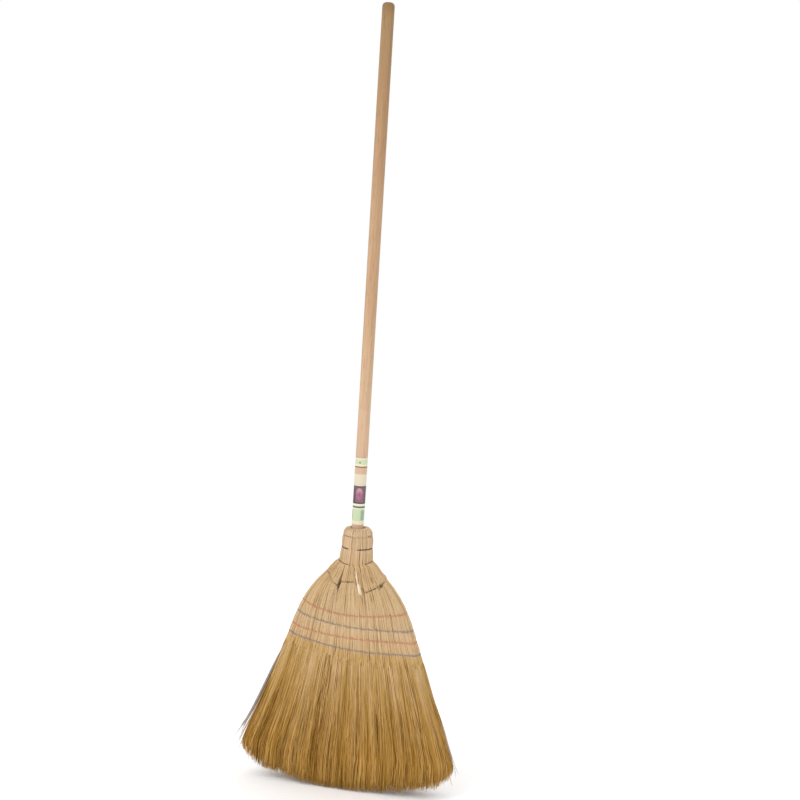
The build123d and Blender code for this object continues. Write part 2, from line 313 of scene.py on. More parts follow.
def label_material():
    """Printed paper band: plain panels of colour. v is the height over the band, u goes round it, 0.5 at the front."""
    m = Nodes("label_paper", 0.42, 0.4)
    uv = m.uv()
    u, v, _ = m.xyz(uv)
    k = lambda mm: (mm - 492.0) / 123.0
    stops = [
        (0.0, lin("D8D0B4")), (k(499.4), lin("B9C6A1")), (k(520.5), lin("CBD2B6")),
        (k(523.4), lin("5C6A56")), (k(527.0), lin("DAD6C2")), (k(531.0), lin("40333A")),
        (k(533.8), lin("7E5564")), (k(561.5), lin("4A3A40")), (k(563.8), lin("CFC3AD")),
        (k(569.0), lin("D3C7B0")), (k(585.5), lin("C3A287")), (k(597.5), lin("7A6650")),
        (k(600.0), lin("DDD6B4")), (k(603.2), lin("C3C9A8")), (k(612.6), lin("DEDAC4")),
    ]
    print_ = m.ramp(v, stops, "CONSTANT")
    off = m.math("ABSOLUTE", m.math("SUBTRACT", u, 0.5))
    # stripes down the two sides of the lower and the middle panel
    low = m.math("MULTIPLY", m.rng(v, k(500.5), k(501.5), 0, 1), m.rng(v, k(519), k(520), 1, 0))
    mid = m.math("MULTIPLY", m.rng(v, k(532), k(533), 0, 1), m.rng(v, k(560.5), k(561.5), 1, 0))
    left = m.math("MULTIPLY", m.rng(u, 0.290, 0.300, 0.0, 1.0), m.rng(u, 0.345, 0.360, 1.0, 0.0))
    right = m.math("MULTIPLY", m.rng(u, 0.590, 0.605, 0.0, 1.0), m.rng(u, 0.700, 0.715, 1.0, 0.0))
    dark_l = m.math("MULTIPLY", m.rng(u, 0.27, 0.28, 0.0, 1.0), m.rng(u, 0.395, 0.435, 1.0, 0.0))
    dark_r = m.math("MULTIPLY", m.rng(u, 0.645, 0.675, 0.0, 1.0), m.rng(u, 0.73, 0.74, 1.0, 0.0))
    colour = m.mix("MIX", m.math("MULTIPLY", m.math("MULTIPLY", left, low), 0.75), print_, lin("8A7550"))
    colour = m.mix("MIX", m.math("MULTIPLY", m.math("MULTIPLY", right, low), 0.80), colour, lin("7F9A80"))
    # a paler oval in the middle panel
    du = m.math("MULTIPLY", m.math("SUBTRACT", u, 0.53), 66.0)
    dv = m.math("MULTIPLY", m.math("SUBTRACT", v, k(549)), 123.0)
    e2 = m.math("ADD", m.math("POWER", m.math("DIVIDE", du, 6.2), 2.0), m.math("POWER", m.math("DIVIDE", dv, 11.5), 2.0))
    oval = m.math("MULTIPLY", m.rng(e2, 0.75, 1.05, 1.0, 0.0), mid)
    pink = m.ramp(v, [(k(538), lin("94687A")), (k(548), lin("A25E7B")), (k(559), lin("BD9DA4"))])
    colour = m.mix("MIX", m.math("MULTIPLY", oval, 0.9), colour, pink)
    inner = m.math("MULTIPLY", m.rng(e2, 0.10, 0.20, 1.0, 0.0), mid)
    colour = m.mix("MIX", m.math("MULTIPLY", inner, 0.40), colour, lin("85405E"))
    colour = m.mix("MIX", m.math("MULTIPLY", m.math("MULTIPLY", dark_l, mid), 0.85), colour, lin("3A2730"))
    colour = m.mix("MIX", m.math("MULTIPLY", m.math("MULTIPLY", dark_r, mid), 0.80), colour, lin("434A45"))
    # a plain round mark on the top band
    du = m.math("MULTIPLY", m.math("SUBTRACT", u, 0.5), 66.0)
    dv = m.math("MULTIPLY", m.math("SUBTRACT", v, k(607.0)), 123.0)
    d2 = m.math("ADD", m.math("POWER", du, 2.0), m.math("POWER", dv, 2.0))
    mark = m.rng(d2, 3.4, 5.0, 0.7, 0.0)
    colour = m.mix("MIX", mark, colour, lin("66745A"))
    # plain crossed lines on the peach band
    wave = m.math("SINE", m.math("MULTIPLY", u, 2 * math.pi * 14.0))
    trim = m.math("MULTIPLY", m.rng(wave, 0.1, 0.6, 0.0, 0.30), m.math("MULTIPLY", m.rng(v, k(586), k(587), 0, 1), m.rng(v, k(596), k(597), 1, 0)))
    colour = m.mix("MIX", trim, colour, lin("DDBFA4"))
    wear = m.noise(m.mapped(uv, (30.0, 60.0, 1.0)), 1.0, 4.0, 0.7)
    w = m.rng(wear, 0.56, 0.72, 0.0, 0.35)
    colour = m.mix("MIX", w, colour, lin("DDD6C6"))
    m.base(colour)
    m.bump(wear, 0.15, 0.0003)
    return m.mat


M_COVER = straw_material("head_straw", 1.12)
M_FREE = straw_material("free_straw", 1.10)
# the inner straw is darkened (gain 0.80, low tones): painted shade where it shows in the gaps between the straws
M_BED = straw_material("inner_straw", 0.80)
M_TWINE = twine_material("dark_twine", lin("2E2215"), lin("5B452C"), 0.25)
M_CORD = twine_material("dark_cord", lin("3A2C1C"), lin("6A5336"), 0.30)
M_RED = twine_material("red_thread", lin("C06A54"), lin("DA9479"), 0.30)
M_BLUE = twine_material("blue_thread", lin("66697A"), lin("9394A0"), 0.30)

# ----------------------------------------------------------------- meshes


def build(name, verts, faces, uvs, mat, smooth=True):
    """verts (N,3); faces a list of (M,k) integer arrays; uvs one (M,k,2) array for each."""
    mesh = bpy.data.meshes.new(name)
    mesh.vertices.add(len(verts))
    mesh.vertices.foreach_set("co", np.asarray(verts, np.float32).ravel())
    loops = np.concatenate([f.ravel() for f in faces]).astype(np.int32)
    totals = np.concatenate([np.full(len(f), f.shape[1]) for f in faces]).astype(np.int32)
    starts = np.concatenate([[0], np.cumsum(totals)[:-1]]).astype(np.int32)
    mesh.loops.add(len(loops))
    mesh.loops.foreach_set("vertex_index", loops)
    mesh.polygons.add(len(totals))
    mesh.polygons.foreach_set("loop_start", starts)
    mesh.polygons.foreach_set("loop_total", totals)
    mesh.polygons.foreach_set("use_smooth", np.full(len(totals), smooth))
    layer = mesh.uv_layers.new(name="OFBake")
    flat = np.concatenate([u.reshape(-1, 2) for u in uvs]).astype(np.float32)
    layer.data.foreach_set("uv", flat.ravel())
    mesh.update(calc_edges=True)
    mesh.validate()
    mesh.materials.append(mat)
    o = bpy.data.objects.new(name, mesh)
    bpy.context.scene.collection.objects.link(o)
    return o


def tubes(paths, radii, ups, sides, u0, du, v, flat=1.0, twist=None):
    """Closed tubes for many paths at once. paths (n,m,3), radii (n,m), ups (n,m,3) roughly across the path,
    u0 (n,) the straw's tone and du its width on the map, v (n,m). Returns verts, faces, uvs."""
    n, m, _ = paths.shape
    t = np.gradient(paths, axis=1)
    t /= np.linalg.norm(t, axis=2, keepdims=True) + 1e-12
    b = np.cross(t, ups)
    b /= np.linalg.norm(b, axis=2, keepdims=True) + 1e-12
    nn = np.cross(b, t)
    ang = np.arange(sides) / sides * 2 * math.pi + math.pi / 2
    ang = ang[None, None, :] + (0 if twist is None else twist[:, None, None])
    ca, sa = np.cos(ang), np.sin(ang)
    r = radii[:, :, None, None]
    ring = (paths[:, :, None, :] + r * (ca[..., None] * b[:, :, None, :] + flat * sa[..., None] * nn[:, :, None, :]))
    verts = ring.reshape(-1, 3)
    base = (np.arange(n) * m * sides)[:, None, None]
    i = np.arange(m - 1)[None, :, None] * sides
    k = np.arange(sides)[None, None, :]
    k2 = (k + 1) % sides
    quads = np.stack(np.broadcast_arrays(base + i + k, base + i + k2, base + i + sides + k2, base + i + sides + k), -1)
    uk = (k / sides)
    uk2 = ((k + 1) / sides)
    if u0.ndim == 1:
        u0 = np.repeat(u0[:, None], m, 1)
    Ua, Ub = u0[:, :-1, None], u0[:, 1:, None]
    va, vb = v[:, :-1, None], v[:, 1:, None]
    uvq = np.stack([
        np.stack(np.broadcast_arrays(Ua + du * uk, va), -1), np.stack(np.broadcast_arrays(Ua + du * uk2, va), -1),
        np.stack(np.broadcast_arrays(Ub + du * uk2, vb), -1), np.stack(np.broadcast_arrays(Ub + du * uk, vb), -1),
    ], 3)
    quads = quads.reshape(-1, 4)
    uvq = uvq.reshape(-1, 4, 2)
    cap0 = (base[:, 0, :] + np.arange(sides)[None, ::-1])
    cap1 = (base[:, 0, :] + (m - 1) * sides + np.arange(sides)[None, :])
    cu = np.arange(sides) / sides
    uvc0 = np.stack([u0[:, :1] + du * cu[None, ::-1], np.repeat(v[:, :1], sides, 1)], -1)
    uvc1 = np.stack([u0[:, -1:] + du * cu[None, :], np.repeat(v[:, -1:], sides, 1)], -1)
    caps = np.concatenate([cap0, cap1])
    uvc = np.concatenate([uvc0, uvc1])
    return verts, [quads, caps], [uvq, uvc]


def join(parts):
    """Joins several (verts, [faces...], [uvs...]) results."""
    verts, faces, uvs, off = [], [], [], 0
    for vs, fs, us in parts:
        verts.append(vs)
        for f, u in zip(fs, us):
            faces.append(f + off)
            uvs.append(u)
        off += len(vs)
    return np.concatenate(verts), faces, uvs


# ------------------------------------------------------- the straw surface
OUTLINE = np.array([
    (489.0, 14.5, 14.5, 2.0), (486.5, 18.4, 18.4, 2.0), (482.5, 22.6, 22.6, 2.0), (477.0, 25.6, 25.6, 2.0),
    (470.0, 26.6, 26.4, 2.0), (447.0, 27.8, 27.0, 2.0), (434.0, 28.7, 27.7, 2.0),
    (428.0, 29.5, 28.1, 2.0), (424.0, 31.6, 28.4, 2.0), (421.0, 36.6, 28.5, 2.02), (418.5, 39.6, 28.7, 2.05),
    (415.0, 42.4, 28.9, 2.1), (410.0, 46.4, 29.2, 2.15), (405.0, 50.0, 29.6, 2.2),
    (400.0, 54.2, 29.9, 2.25), (390.0, 63.4, 30.0, 2.3), (380.0, 72.4, 30.0, 2.45),
    (365.0, 83.6, 29.5, 2.6), (348.0, 93.2, 28.4, 2.8), (330.0, 101.6, 27.1, 3.0),
    (310.0, 109.6, 26.0, 3.0), (290.0, 116.5, 25.5, 3.0), (270.0, 123.8, 25.3, 3.0),
    (248.0, 131.7, 25.5, 3.0), (220.0, 141.8, 26.6, 3.0), (190.0, 152.0, 27.8, 3.0),
    (160.0, 163.1, 29.0, 3.0), (130.0, 174.5, 30.0, 3.0), (100.0, 185.7, 31.1, 3.0),
    (80.0, 193.3, 31.7, 3.0), (64.0, 198.2, 32.0, 3.0), (50.0, 199.6, 32.3, 3.0),
    (0.0, 199.6, 32.5, 3.0),
])[::-1]
# how far the head lies to the right of the stick's axis, by height
OVER_Z = [0, 50, 80, 120, 163, 236, 300, 357, 376, 398, 415, 424, 432, 450, 480, 490]
OVER_X = [4.7, 4.6, 4.9, 5.4, 5.0, 4.6, 3.0, 1.7, 1.3, 1.2, 1.0, 0.4, 1.0, 1.5, 1.5, 1.5]
GZ = np.arange(0.0, 490.0, 1.0)
NA = 720


def ring_tables():
    w = np.interp(GZ, OUTLINE[:, 0], OUTLINE[:, 1])
    t = np.interp(GZ, OUTLINE[:, 0], OUTLINE[:, 2])
    n = np.interp(GZ, OUTLINE[:, 0], OUTLINE[:, 3])

    def soft(a):
        k = np.exp(-0.5 * (np.arange(-9, 10) / 1.8) ** 2)
        k /= k.sum()
        p = np.pad(a, 9, mode="edge")
        s = np.convolve(p, k, "valid")
        keep = np.clip((GZ - 474.0) / 6.0, 0, 1)
        return s * (1 - keep) + a * keep

    w, t, n = soft(w), soft(t), soft(n)
    th = np.linspace(0, 2 * math.pi, 2881)
    X = np.zeros((len(GZ), NA))
    Y = np.zeros_like(X)
    per = np.zeros(len(GZ))
    s_, c_ = np.sin(th), np.cos(th)
    for i in range(len(GZ)):
        x = w[i] * np.sign(s_) * np.abs(s_) ** (2 / n[i])
        y = -t[i] * np.sign(c_) * np.abs(c_) ** (2 / n[i])
        d = np.hypot(np.diff(x), np.diff(y))
        cum = np.concatenate([[0], np.cumsum(d)])
        per[i] = cum[-1]
        f = np.arange(NA) / NA * cum[-1]
        X[i], Y[i] = np.interp(f, cum, x), np.interp(f, cum, y)
    tx = np.roll(X, -2, 1) - np.roll(X, 2, 1)
    ty = np.roll(Y, -2, 1) - np.roll(Y, 2, 1)
    ln = np.hypot(tx, ty)
    return X, Y, ty / ln, -tx / ln, per, w, t, n


RX, RY, RNX, RNY, RPER, RW, RT, RN = ring_tables()


def ring(a, z):
    """Point and outward normal of the straw surface, in mm: a is the share of the way round, from the front centre through the right."""
    zi = np.clip(z, 0, len(GZ) - 1.001)
    i = zi.astype(int)
    fz = zi - i
    ai = (a % 1.0) * NA
    j = np.floor(ai).astype(int)
    fa = ai - j
    j0, j1 = j % NA, (j + 1) % NA
    out = []
    for T in (RX, RY, RNX, RNY):
        out.append((T[i, j0] * (1 - fa) + T[i, j1] * fa) * (1 - fz) + (T[i + 1, j0] * (1 - fa) + T[i + 1, j1] * fa) * fz)
    return out


def perimeter(z):
    return np.interp(z, GZ, RPER)


def half_width(z):
    return np.interp(z, GZ, RW)


ROWS = {
    "stitch_row_1_red": [(-115, 352), (-100, 347), (-88.6, 343.3), (-70.9, 337.6), (-45.5, 331.6), (-14, 328.2),
                         (17, 328), (47.6, 330.8), (78, 335.3), (95, 337), (106, 337.5), (120, 338)],
    "stitch_row_2_blue": [(-115, 326), (-98, 321), (-73, 315.8), (-38, 309.3), (-4, 306.5), (30, 305),
                          (67, 306.5), (95, 307), (114, 306), (125, 306)],
    "stitch_row_3_red": [(-120, 299), (-105, 295.4), (-75, 292.2), (-40, 287.3), (-5.5, 285.2), (32, 285),
                         (69, 286.5), (95, 286.5), (118, 284.5), (130, 284)],
    "stitch_row_4_blue": [(-127, 283), (-102, 278), (-74, 273), (-42, 268.4), (-4, 264.2), (33, 261.8),
                          (76, 264), (100, 264.5), (126, 263.5), (135, 263)],
}
ROW_FIT = {k: np.polyfit(*np.array(v, float).T, 4) for k, v in ROWS.items()}
TIES = {"neck_tie_upper": 473.0, "neck_tie_middle": 450.0, "neck_tie_lower": 423.5}
TIE_DIP = {"neck_tie_upper": 0.4, "neck_tie_middle": 0.5, "neck_tie_lower": 2.3}


def tie_z(name, x, y):
    """A tie's height: lower at the front and back than at the sides."""
    th = np.arctan2(x, -y)
    return TIES[name] - TIE_DIP[name] * np.cos(2 * th)



CORD = np.array([(-50.1, 402.0), (-41.0, 396.0), (-34.0, 385.5), (-24.0, 380.5), (-19.0, 389.0),
                 (5.0, 391.5), (27.0, 373.5), (53.0, 387.5), (58.6, 393.6)])
SEAM_L = np.array([(-15.0, 420.0), (-19.0, 400.0), (-24.0, 381.0), (-26.0, 355.0), (-29.0, 325.0)])
SEAM_R = np.array([(3.0, 420.0), (7.0, 400.0), (14.0, 382.0), (21.0, 362.0), (26.0, 325.0)])
SEAM_P = np.array([(-37.0, 417.0), (-44.0, 405.0), (-42.0, 396.0), (-33.0, 386.0)])
# line, depth, half width, gap, then the height where it is deepest, its reach and how much is left elsewhere
SEAMS = ((SEAM_L, 5.6, 2.6, 2.6, 388.0, 13.0, 0.26), (SEAM_R, 4.4, 2.2, 1.8, 378.0, 18.0, 0.28), (SEAM_P, 2.8, 2.0, 1.3, 400.0, 30.0, 0.3))


def row_z(name, x):
    return np.polyval(ROW_FIT[name], np.clip(x, -128.0, 132.0))


def seg_distance(x, z, line):
    """Distance to a polyline in (x, z), and which side of it: above is positive, then right is positive."""
    best = np.full(x.shape, 1e9)
    above = np.zeros(x.shape)
    right = np.zeros(x.shape)
    for (x0, z0), (x1, z1) in zip(line, line[1:]):
        dx, dz = x1 - x0, z1 - z0
        f = np.clip(((x - x0) * dx + (z - z0) * dz) / (dx * dx + dz * dz), 0, 1)
        px, pz = x0 + f * dx, z0 + f * dz
        d = np.hypot(x - px, z - pz)
        near = d < best
        best = np.where(near, d, best)
        above = np.where(near, np.sign(z - pz), above)
        right = np.where(near, np.sign(x - px), right)
    return best, above, right


def wavy(n, seed_rng, waves=4, lo=1.0, hi=5.0):
    """n smooth random curves over 0..1, as a function."""
    amp = seed_rng.normal(0, 1, (n, waves)) / np.sqrt(waves)
    frq = seed_rng.uniform(lo, hi, (n, waves))
    ph = seed_rng.uniform(0, 2 * math.pi, (n, waves))

    def f(t):
        return (amp[:, None, :] * np.sin(frq[:, None, :] * t[..., None] * 2 * math.pi + ph[:, None, :])).sum(-1)

    return f


def seam_zone(z, peak, reach, rest):
    zone = np.clip((z - 318.0) / 25.0, 0, 1) * np.clip((424.0 - z) / 5.0, 0, 1)
    return zone * (rest + (1.0 - rest) * np.exp(-((z - peak) / reach) ** 2))


def relief(x, y, z):
    """How far the bound and sewn straw stands out of its smooth outline, in mm."""
    d = np.zeros(x.shape)
    for name in TIES:
        d -= 1.3 * np.exp(-((z - tie_z(name, x, y)) / 2.4) ** 2)
    for a, b in ((473.0, 489.0), (450.0, 473.0), (423.0, 450.0)):
        m = (a + b) / 2
        d += 0.5 * np.exp(-((z - m) / (0.30 * (b - a))) ** 2)
    for name in ROWS:
        zr = row_z(name, x)
        d -= 1.0 * np.exp(-((z - zr) / 2.4) ** 2)
        d += 0.55 * np.exp(-((z - zr - 10.5) / 6.0) ** 2)
    flatness = np.clip(np.abs(y) / 10.0, 0, 1)
    # seams between the lobes
    for line, deep, wide, _, peak, reach, rest in SEAMS:
        ds, _, _ = seg_distance(x, z, line)
        d -= flatness * seam_zone(z, peak, reach, rest) * deep * np.exp(-(ds / wide) ** 2)
    # the cord pulls the straw in, and the lobes over it swell
    dc, up, _ = seg_distance(x, z, CORD)
    band = np.clip((x + 58) / 12, 0, 1) * np.clip((65 - x) / 12, 0, 1)
    d -= flatness * band * 1.9 * np.exp(-(dc / 2.2) ** 2)
    swell = np.where(up > 0, 2.6, 0.9)
    d += flatness * band * swell * np.exp(-((dc - 7.0) / 6.0) ** 2) * np.clip((421.0 - z) / 8.0, 0, 1)
    # the lobes themselves
    lobe = np.clip((z - 330.0) / 40.0, 0, 1) * np.clip((424.0 - z) / 10.0, 0, 1)
    w = np.interp(z, GZ, RW)
    d += flatness * lobe * 2.0 * (np.exp(-((x + 0.02 * w) / (0.20 * w + 1)) ** 2) + np.exp(-((np.abs(x) - 0.62 * w) / (0.24 * w + 1)) ** 2) - 0.8)
    return d


def part_at_seams(a, z):
    """Moves straws sideways, away from the seams, so that a gap shows."""
    x, y, _, _ = ring(a, z)
    facing = np.where(y < 0, 1.0, -1.0)
    move = np.zeros(x.shape)
    for line, _, wide, gap, peak, reach, rest in SEAMS:
        ds, _, right = seg_distance(x, z, line)
        move += gap * seam_zone(z, peak, reach, rest) * np.where(right == 0, 1.0, right) * np.exp(-(ds / (wide * 1.7)) ** 2)
    flatness = np.clip(np.abs(y) / 10.0, 0, 1)
    return a + facing * move * flatness / perimeter(z)


def tip_edge(x):
    """Height of the brush's lower edge, by the distance to the right of the middle."""
    return np.interp(x + 4.7, [-215, -200, -194, -188.8, -178.5, -158.6, -132.4, -100.1, -67.7, -35.7, 2.2, 39.7, 76.9,
                               113.8, 150.5, 180.7, 198.2, 204.8, 220],
                     [80, 59, 50.5, 45.0, 36.5, 25.0, 17.8, 12.4, 5.6, 1.2, 0.5, 2.0, 6.4, 11.5, 18.0, 27.0, 40.5, 58.0, 90])


def tone_v(x, z):
    """The map's height coordinate. It runs with the sewing, so the straw's colour changes along the last row."""
    fade = np.clip((z - 60.0) / 150.0, 0, 1) * np.clip((430.0 - z) / 110.0, 0, 1)
    return np.clip((z - (row_z("stitch_row_4_blue", x) - 264.0) * fade) / 1000.0 / UV_TOP, 0.002, 0.998)


# ------------------------------------------------------------ cover straw
PIECES = {}   # name -> list of (verts, faces, uvs)


def which(a):
    """Sheaf name for a straw by its share of the way round."""
    a = a % 1.0
    side = "front" if (a < 0.25 or a >= 0.75) else "back"
    x, _, _, _ = ring(np.array([a]), np.array([248.0]))
    s = float(x[0]) / half_width(248.0)
    hand = "center" if abs(s) < 0.36 else ("right" if s > 0 else "left")
    return f"{side}_{hand}"


def by_sheaf(prefix, a0, maker):
    """Makes the straws of each sheaf as part of that sheaf's piece."""
    names = np.array([which(a) for a in a0])
    for nm in sorted(set(names)):
        idx = np.nonzero(names == nm)[0]
        PIECES.setdefault(prefix + nm, []).append(maker(idx))


def heights(top, end, fine=2.7, coarse=9.0, knee=250.0):
    """Sample shares 0..1 for each straw from top to end, closer together above the knee."""
    n_hi = max(4, int(math.ceil((float(top.max()) - knee) / fine)))
    n_lo = max(3, int(math.ceil((knee - float(end.min())) / coarse)))
    s1 = np.linspace(0, 1, n_hi + 1)[None, :-1]
    s2 = np.linspace(0, 1, n_lo + 1)[None, :]
    mid = np.maximum(np.minimum(knee, top - 6.0), end + 6.0)[:, None]
    hi = top[:, None] + (mid - top[:, None]) * s1
    lo = mid + (end[:, None] - mid) * s2
    return np.concatenate([hi, lo], 1)


def cover_tier(count, z_hi, z_lo, end_hi, end_lo, r_top, sink, layer):
    n = count
    a0 = (np.arange(n) + rng.uniform(-0.42, 0.42, n)) / n
    zt = rng.uniform(z_lo, z_hi, n)
    ze = rng.uniform(end_lo, end_hi, n)
    z = heights(zt, ze)
    t = (zt[:, None] - z) / (zt - ze)[:, None]
    wob = wavy(n, rng, 3, 0.4, 2.2)
    wob2 = wavy(n, rng, 3, 2.0, 5.0)
    wob3 = wavy(n, rng, 2, 1.5, 4.0)
    loose = np.clip((300.0 - z) / 140.0, 0, 1)
    drift = rng.normal(0, 1, n)[:, None]
    a = a0[:, None] + (0.9 * wob(t) + 0.25 * wob2(t) + loose * (3.0 * wob(t * 0.7) + 4.0 * drift * loose)) / perimeter(z)
    a = part_at_seams(a, z)
    x, y, nx, ny = ring(a, z)
    d = relief(x, y, z)
    depth = rng.uniform(-0.25, layer, n)[:, None] + 0.0 * z
    if sink:
        depth = depth + 5.0 * np.exp(-((zt[:, None] - z) / 11.0))
    depth = depth + 2.4 * np.exp(-((z - ze[:, None]) / 16.0)) + 0.5 * loose * wob3(t)
    off = d - depth
    px, py = x + nx * off, y + ny * off
    P = np.stack([px, py, z], -1) * MM
    N = np.stack([nx, ny, np.zeros_like(nx)], -1)
    r = r_top * rng.uniform(0.75, 1.18, n)[:, None] * (0.92 + 0.16 * np.clip((z - 330) / 80, 0, 1)) * np.clip(0.55 + (z - 120) / 400.0, 0.42, 1.0)
    r = r * np.clip(0.22 + (z - ze[:, None]) / 50.0, 0.22, 1.0)
    tone = np.clip(rng.normal(0.60, 0.14, n), 0.22, 0.80)
    pick = rng.uniform(0, 1, n)
    tone = np.where(pick < 0.10, rng.uniform(0.10, 0.26, n), tone)
    tone = np.where(pick > 0.93, rng.uniform(0.868, 0.94, n), tone)
    v = tone_v(x, z)
    # below the last row each straw takes another shade, further from the mean
    low = np.clip(tone * 0.35 + rng.normal(0.33, 0.20, n), 0.06, 0.80)
    low = np.where(tone > 0.80, tone, low)
    down = np.clip((row_z("stitch_row_4_blue", x) - z) / 22.0, 0, 1)
    tone = tone[:, None] * (1 - down) + low[:, None] * down

    def maker(idx):
        return tubes(P[idx], r[idx] * MM, N[idx], 4, tone[idx] * 0.985, 0.008, v[idx], 0.8, rng.uniform(0, 1.5, len(idx)))

    by_sheaf("cover_straw_", a0, maker)


cover_tier(150, 486.0, 481.5, 215.0, 20.0, 1.16, False, 0.7)
cover_tier(120, 485.0, 480.0, 215.0, 20.0, 1.10, False, 2.0)
cover_tier(190, 421.0, 412.0, 218.0, 25.0, 1.15, True, 0.8)
cover_tier(260, 408.0, 372.0, 218.0, 25.0, 1.10, True, 1.0)
cover_tier(260, 372.0, 335.0, 218.0, 25.0, 1.02, True, 1.2)
cover_tier(240, 335.0, 290.0, 215.0, 30.0, 0.95, True, 1.2)

# the tops of the neck straw, folded over the rim towards the stick
for k, (lo_, hi_, n) in enumerate(((0.0, 1.0, 96), (-1.2, 0.0, 80))):
    a0 = (np.arange(n) + rng.uniform(-0.4, 0.4, n)) / n
    prof = np.array([(12.1, 484.6), (13.6, 485.5), (15.8, 485.7), (18.6, 484.6), (21.4, 482.3), (23.8, 478.9), (25.6, 474.9), (26.2, 471.5)])
    s_ = np.linspace(0, len(prof) - 1, 18)
    pr, pz = np.interp(s_, np.arange(len(prof)), prof[:, 0]), np.interp(s_, np.arange(len(prof)), prof[:, 1])
    for _ in range(2):
        pr[1:-1] = np.convolve(pr, [0.25, 0.5, 0.25], "same")[1:-1]
        pz[1:-1] = np.convolve(pz, [0.25, 0.5, 0.25], "same")[1:-1]
    start = rng.uniform(0.0, 0.28, n)[:, None]
    f = start + (1 - start) * np.linspace(0, 1, 14)[None, :]
    R_ = np.interp(f * 17, np.arange(18), pr)
    Z_ = np.interp(f * 17, np.arange(18), pz)
    lift = rng.uniform(lo_, hi_, n)[:, None] * 0.7
    th = (a0[:, None] + 0.012 * rng.normal(0, 1, n)[:, None] * (1 - f)) * 2 * math.pi
    R_ = R_ + lift * np.clip((f - 0.35) * 1.5, 0, 1)
    Z_ = Z_ + lift * np.clip(1 - f * 1.2, 0, 1)
    P = np.stack([R_ * np.sin(th), -R_ * np.cos(th), Z_], -1) * MM
    N = np.stack([np.sin(th) * f, -np.cos(th) * f, 1.0 - 0.9 * f], -1)
    r = rng.uniform(0.75, 1.1, n)[:, None] * (0.55 + 0.45 * np.clip(f * 2.0, 0, 1)) * np.clip((1 - f) * 6 + 0.3, 0.3, 1.0)
    tone = np.clip(rng.normal(0.60, 0.12, n), 0.25, 0.80)
    v = np.clip(Z_ / 1000.0 / UV_TOP, 0.002, 0.998)
    by_sheaf("cover_straw_", a0, lambda idx: tubes(P[idx], r[idx] * MM, N[idx], 4, tone[idx] * 0.985, 0.008, v[idx], 0.8))

# a few pale split straws on the front, along the right-hand seam; their near-white colour is partly their own and
# partly a painted highlight
for k, (sx, dx, zt_, dz, rad, tn) in enumerate((
        (6.2, 9.5, 417.0, 50.0, 1.45, 0.853), (8.0, 8.8, 411.0, 36.0, 1.20, 0.79), (9.8, 7.6, 404.0, 38.0, 1.50, 0.853),
        (11.8, 7.8, 398.0, 33.0, 1.05, 0.853), (4.6, 8.0, 414.0, 26.0, 0.85, 0.66), (13.6, 7.4, 394.0, 30.0, 1.10, 0.853),
        (8.6, 11.5, 418.0, 40.0, 0.95, 0.72), (15.6, 6.6, 390.0, 26.0, 0.85, 0.78), (34.0, 4.0, 402.5, 7.0, 0.75, 0.05),
        (38.5, 2.4, 397.0, 4.5, 0.60, 0.08), (31.0, 2.0, 404.0, 3.0, 0.55, 0.10))):
    t = np.linspace(0, 1, 22)[None, :]
    xs = sx + dx * t + 0.7 * np.sin(t * 3 + k)
    zs = zt_ - dz * t
    w = half_width(zs)
    tt = np.interp(zs, GZ, RT)
    nn_ = np.interp(zs, GZ, RN)
    ys = -tt * (1 - (np.abs(xs) / w) ** nn_) ** (1 / nn_)
    up_ = 2.3 if dz > 10 else 1.3
    off = np.maximum(relief(xs, ys, zs), -0.4) + up_ - 4.0 * np.exp(-t * 9) - 3.4 * np.exp(-(1 - t) * 7)
    P = np.stack([xs, ys - off, zs], -1) * MM
    N = np.stack([np.zeros_like(xs), -np.ones_like(xs), np.zeros_like(xs)], -1)
    r = np.full(xs.shape, rad) * np.clip(np.sin(np.clip(t, 0.03, 0.97) * math.pi) * 1.6, 0.3, 1.0)
    PIECES["cover_straw_front_center"].append(
        tubes(P, r * MM, N, 4, np.array([tn * 0.985]), 0.008, zs / 1000 / UV_TOP, 0.7))

# ------------------------------------------------------------- free straw


TUFT_TONE = rng.normal(0, 0.09, 58)
TUFT_DEPTH = rng.uniform(-0.8, 2.3, 58)


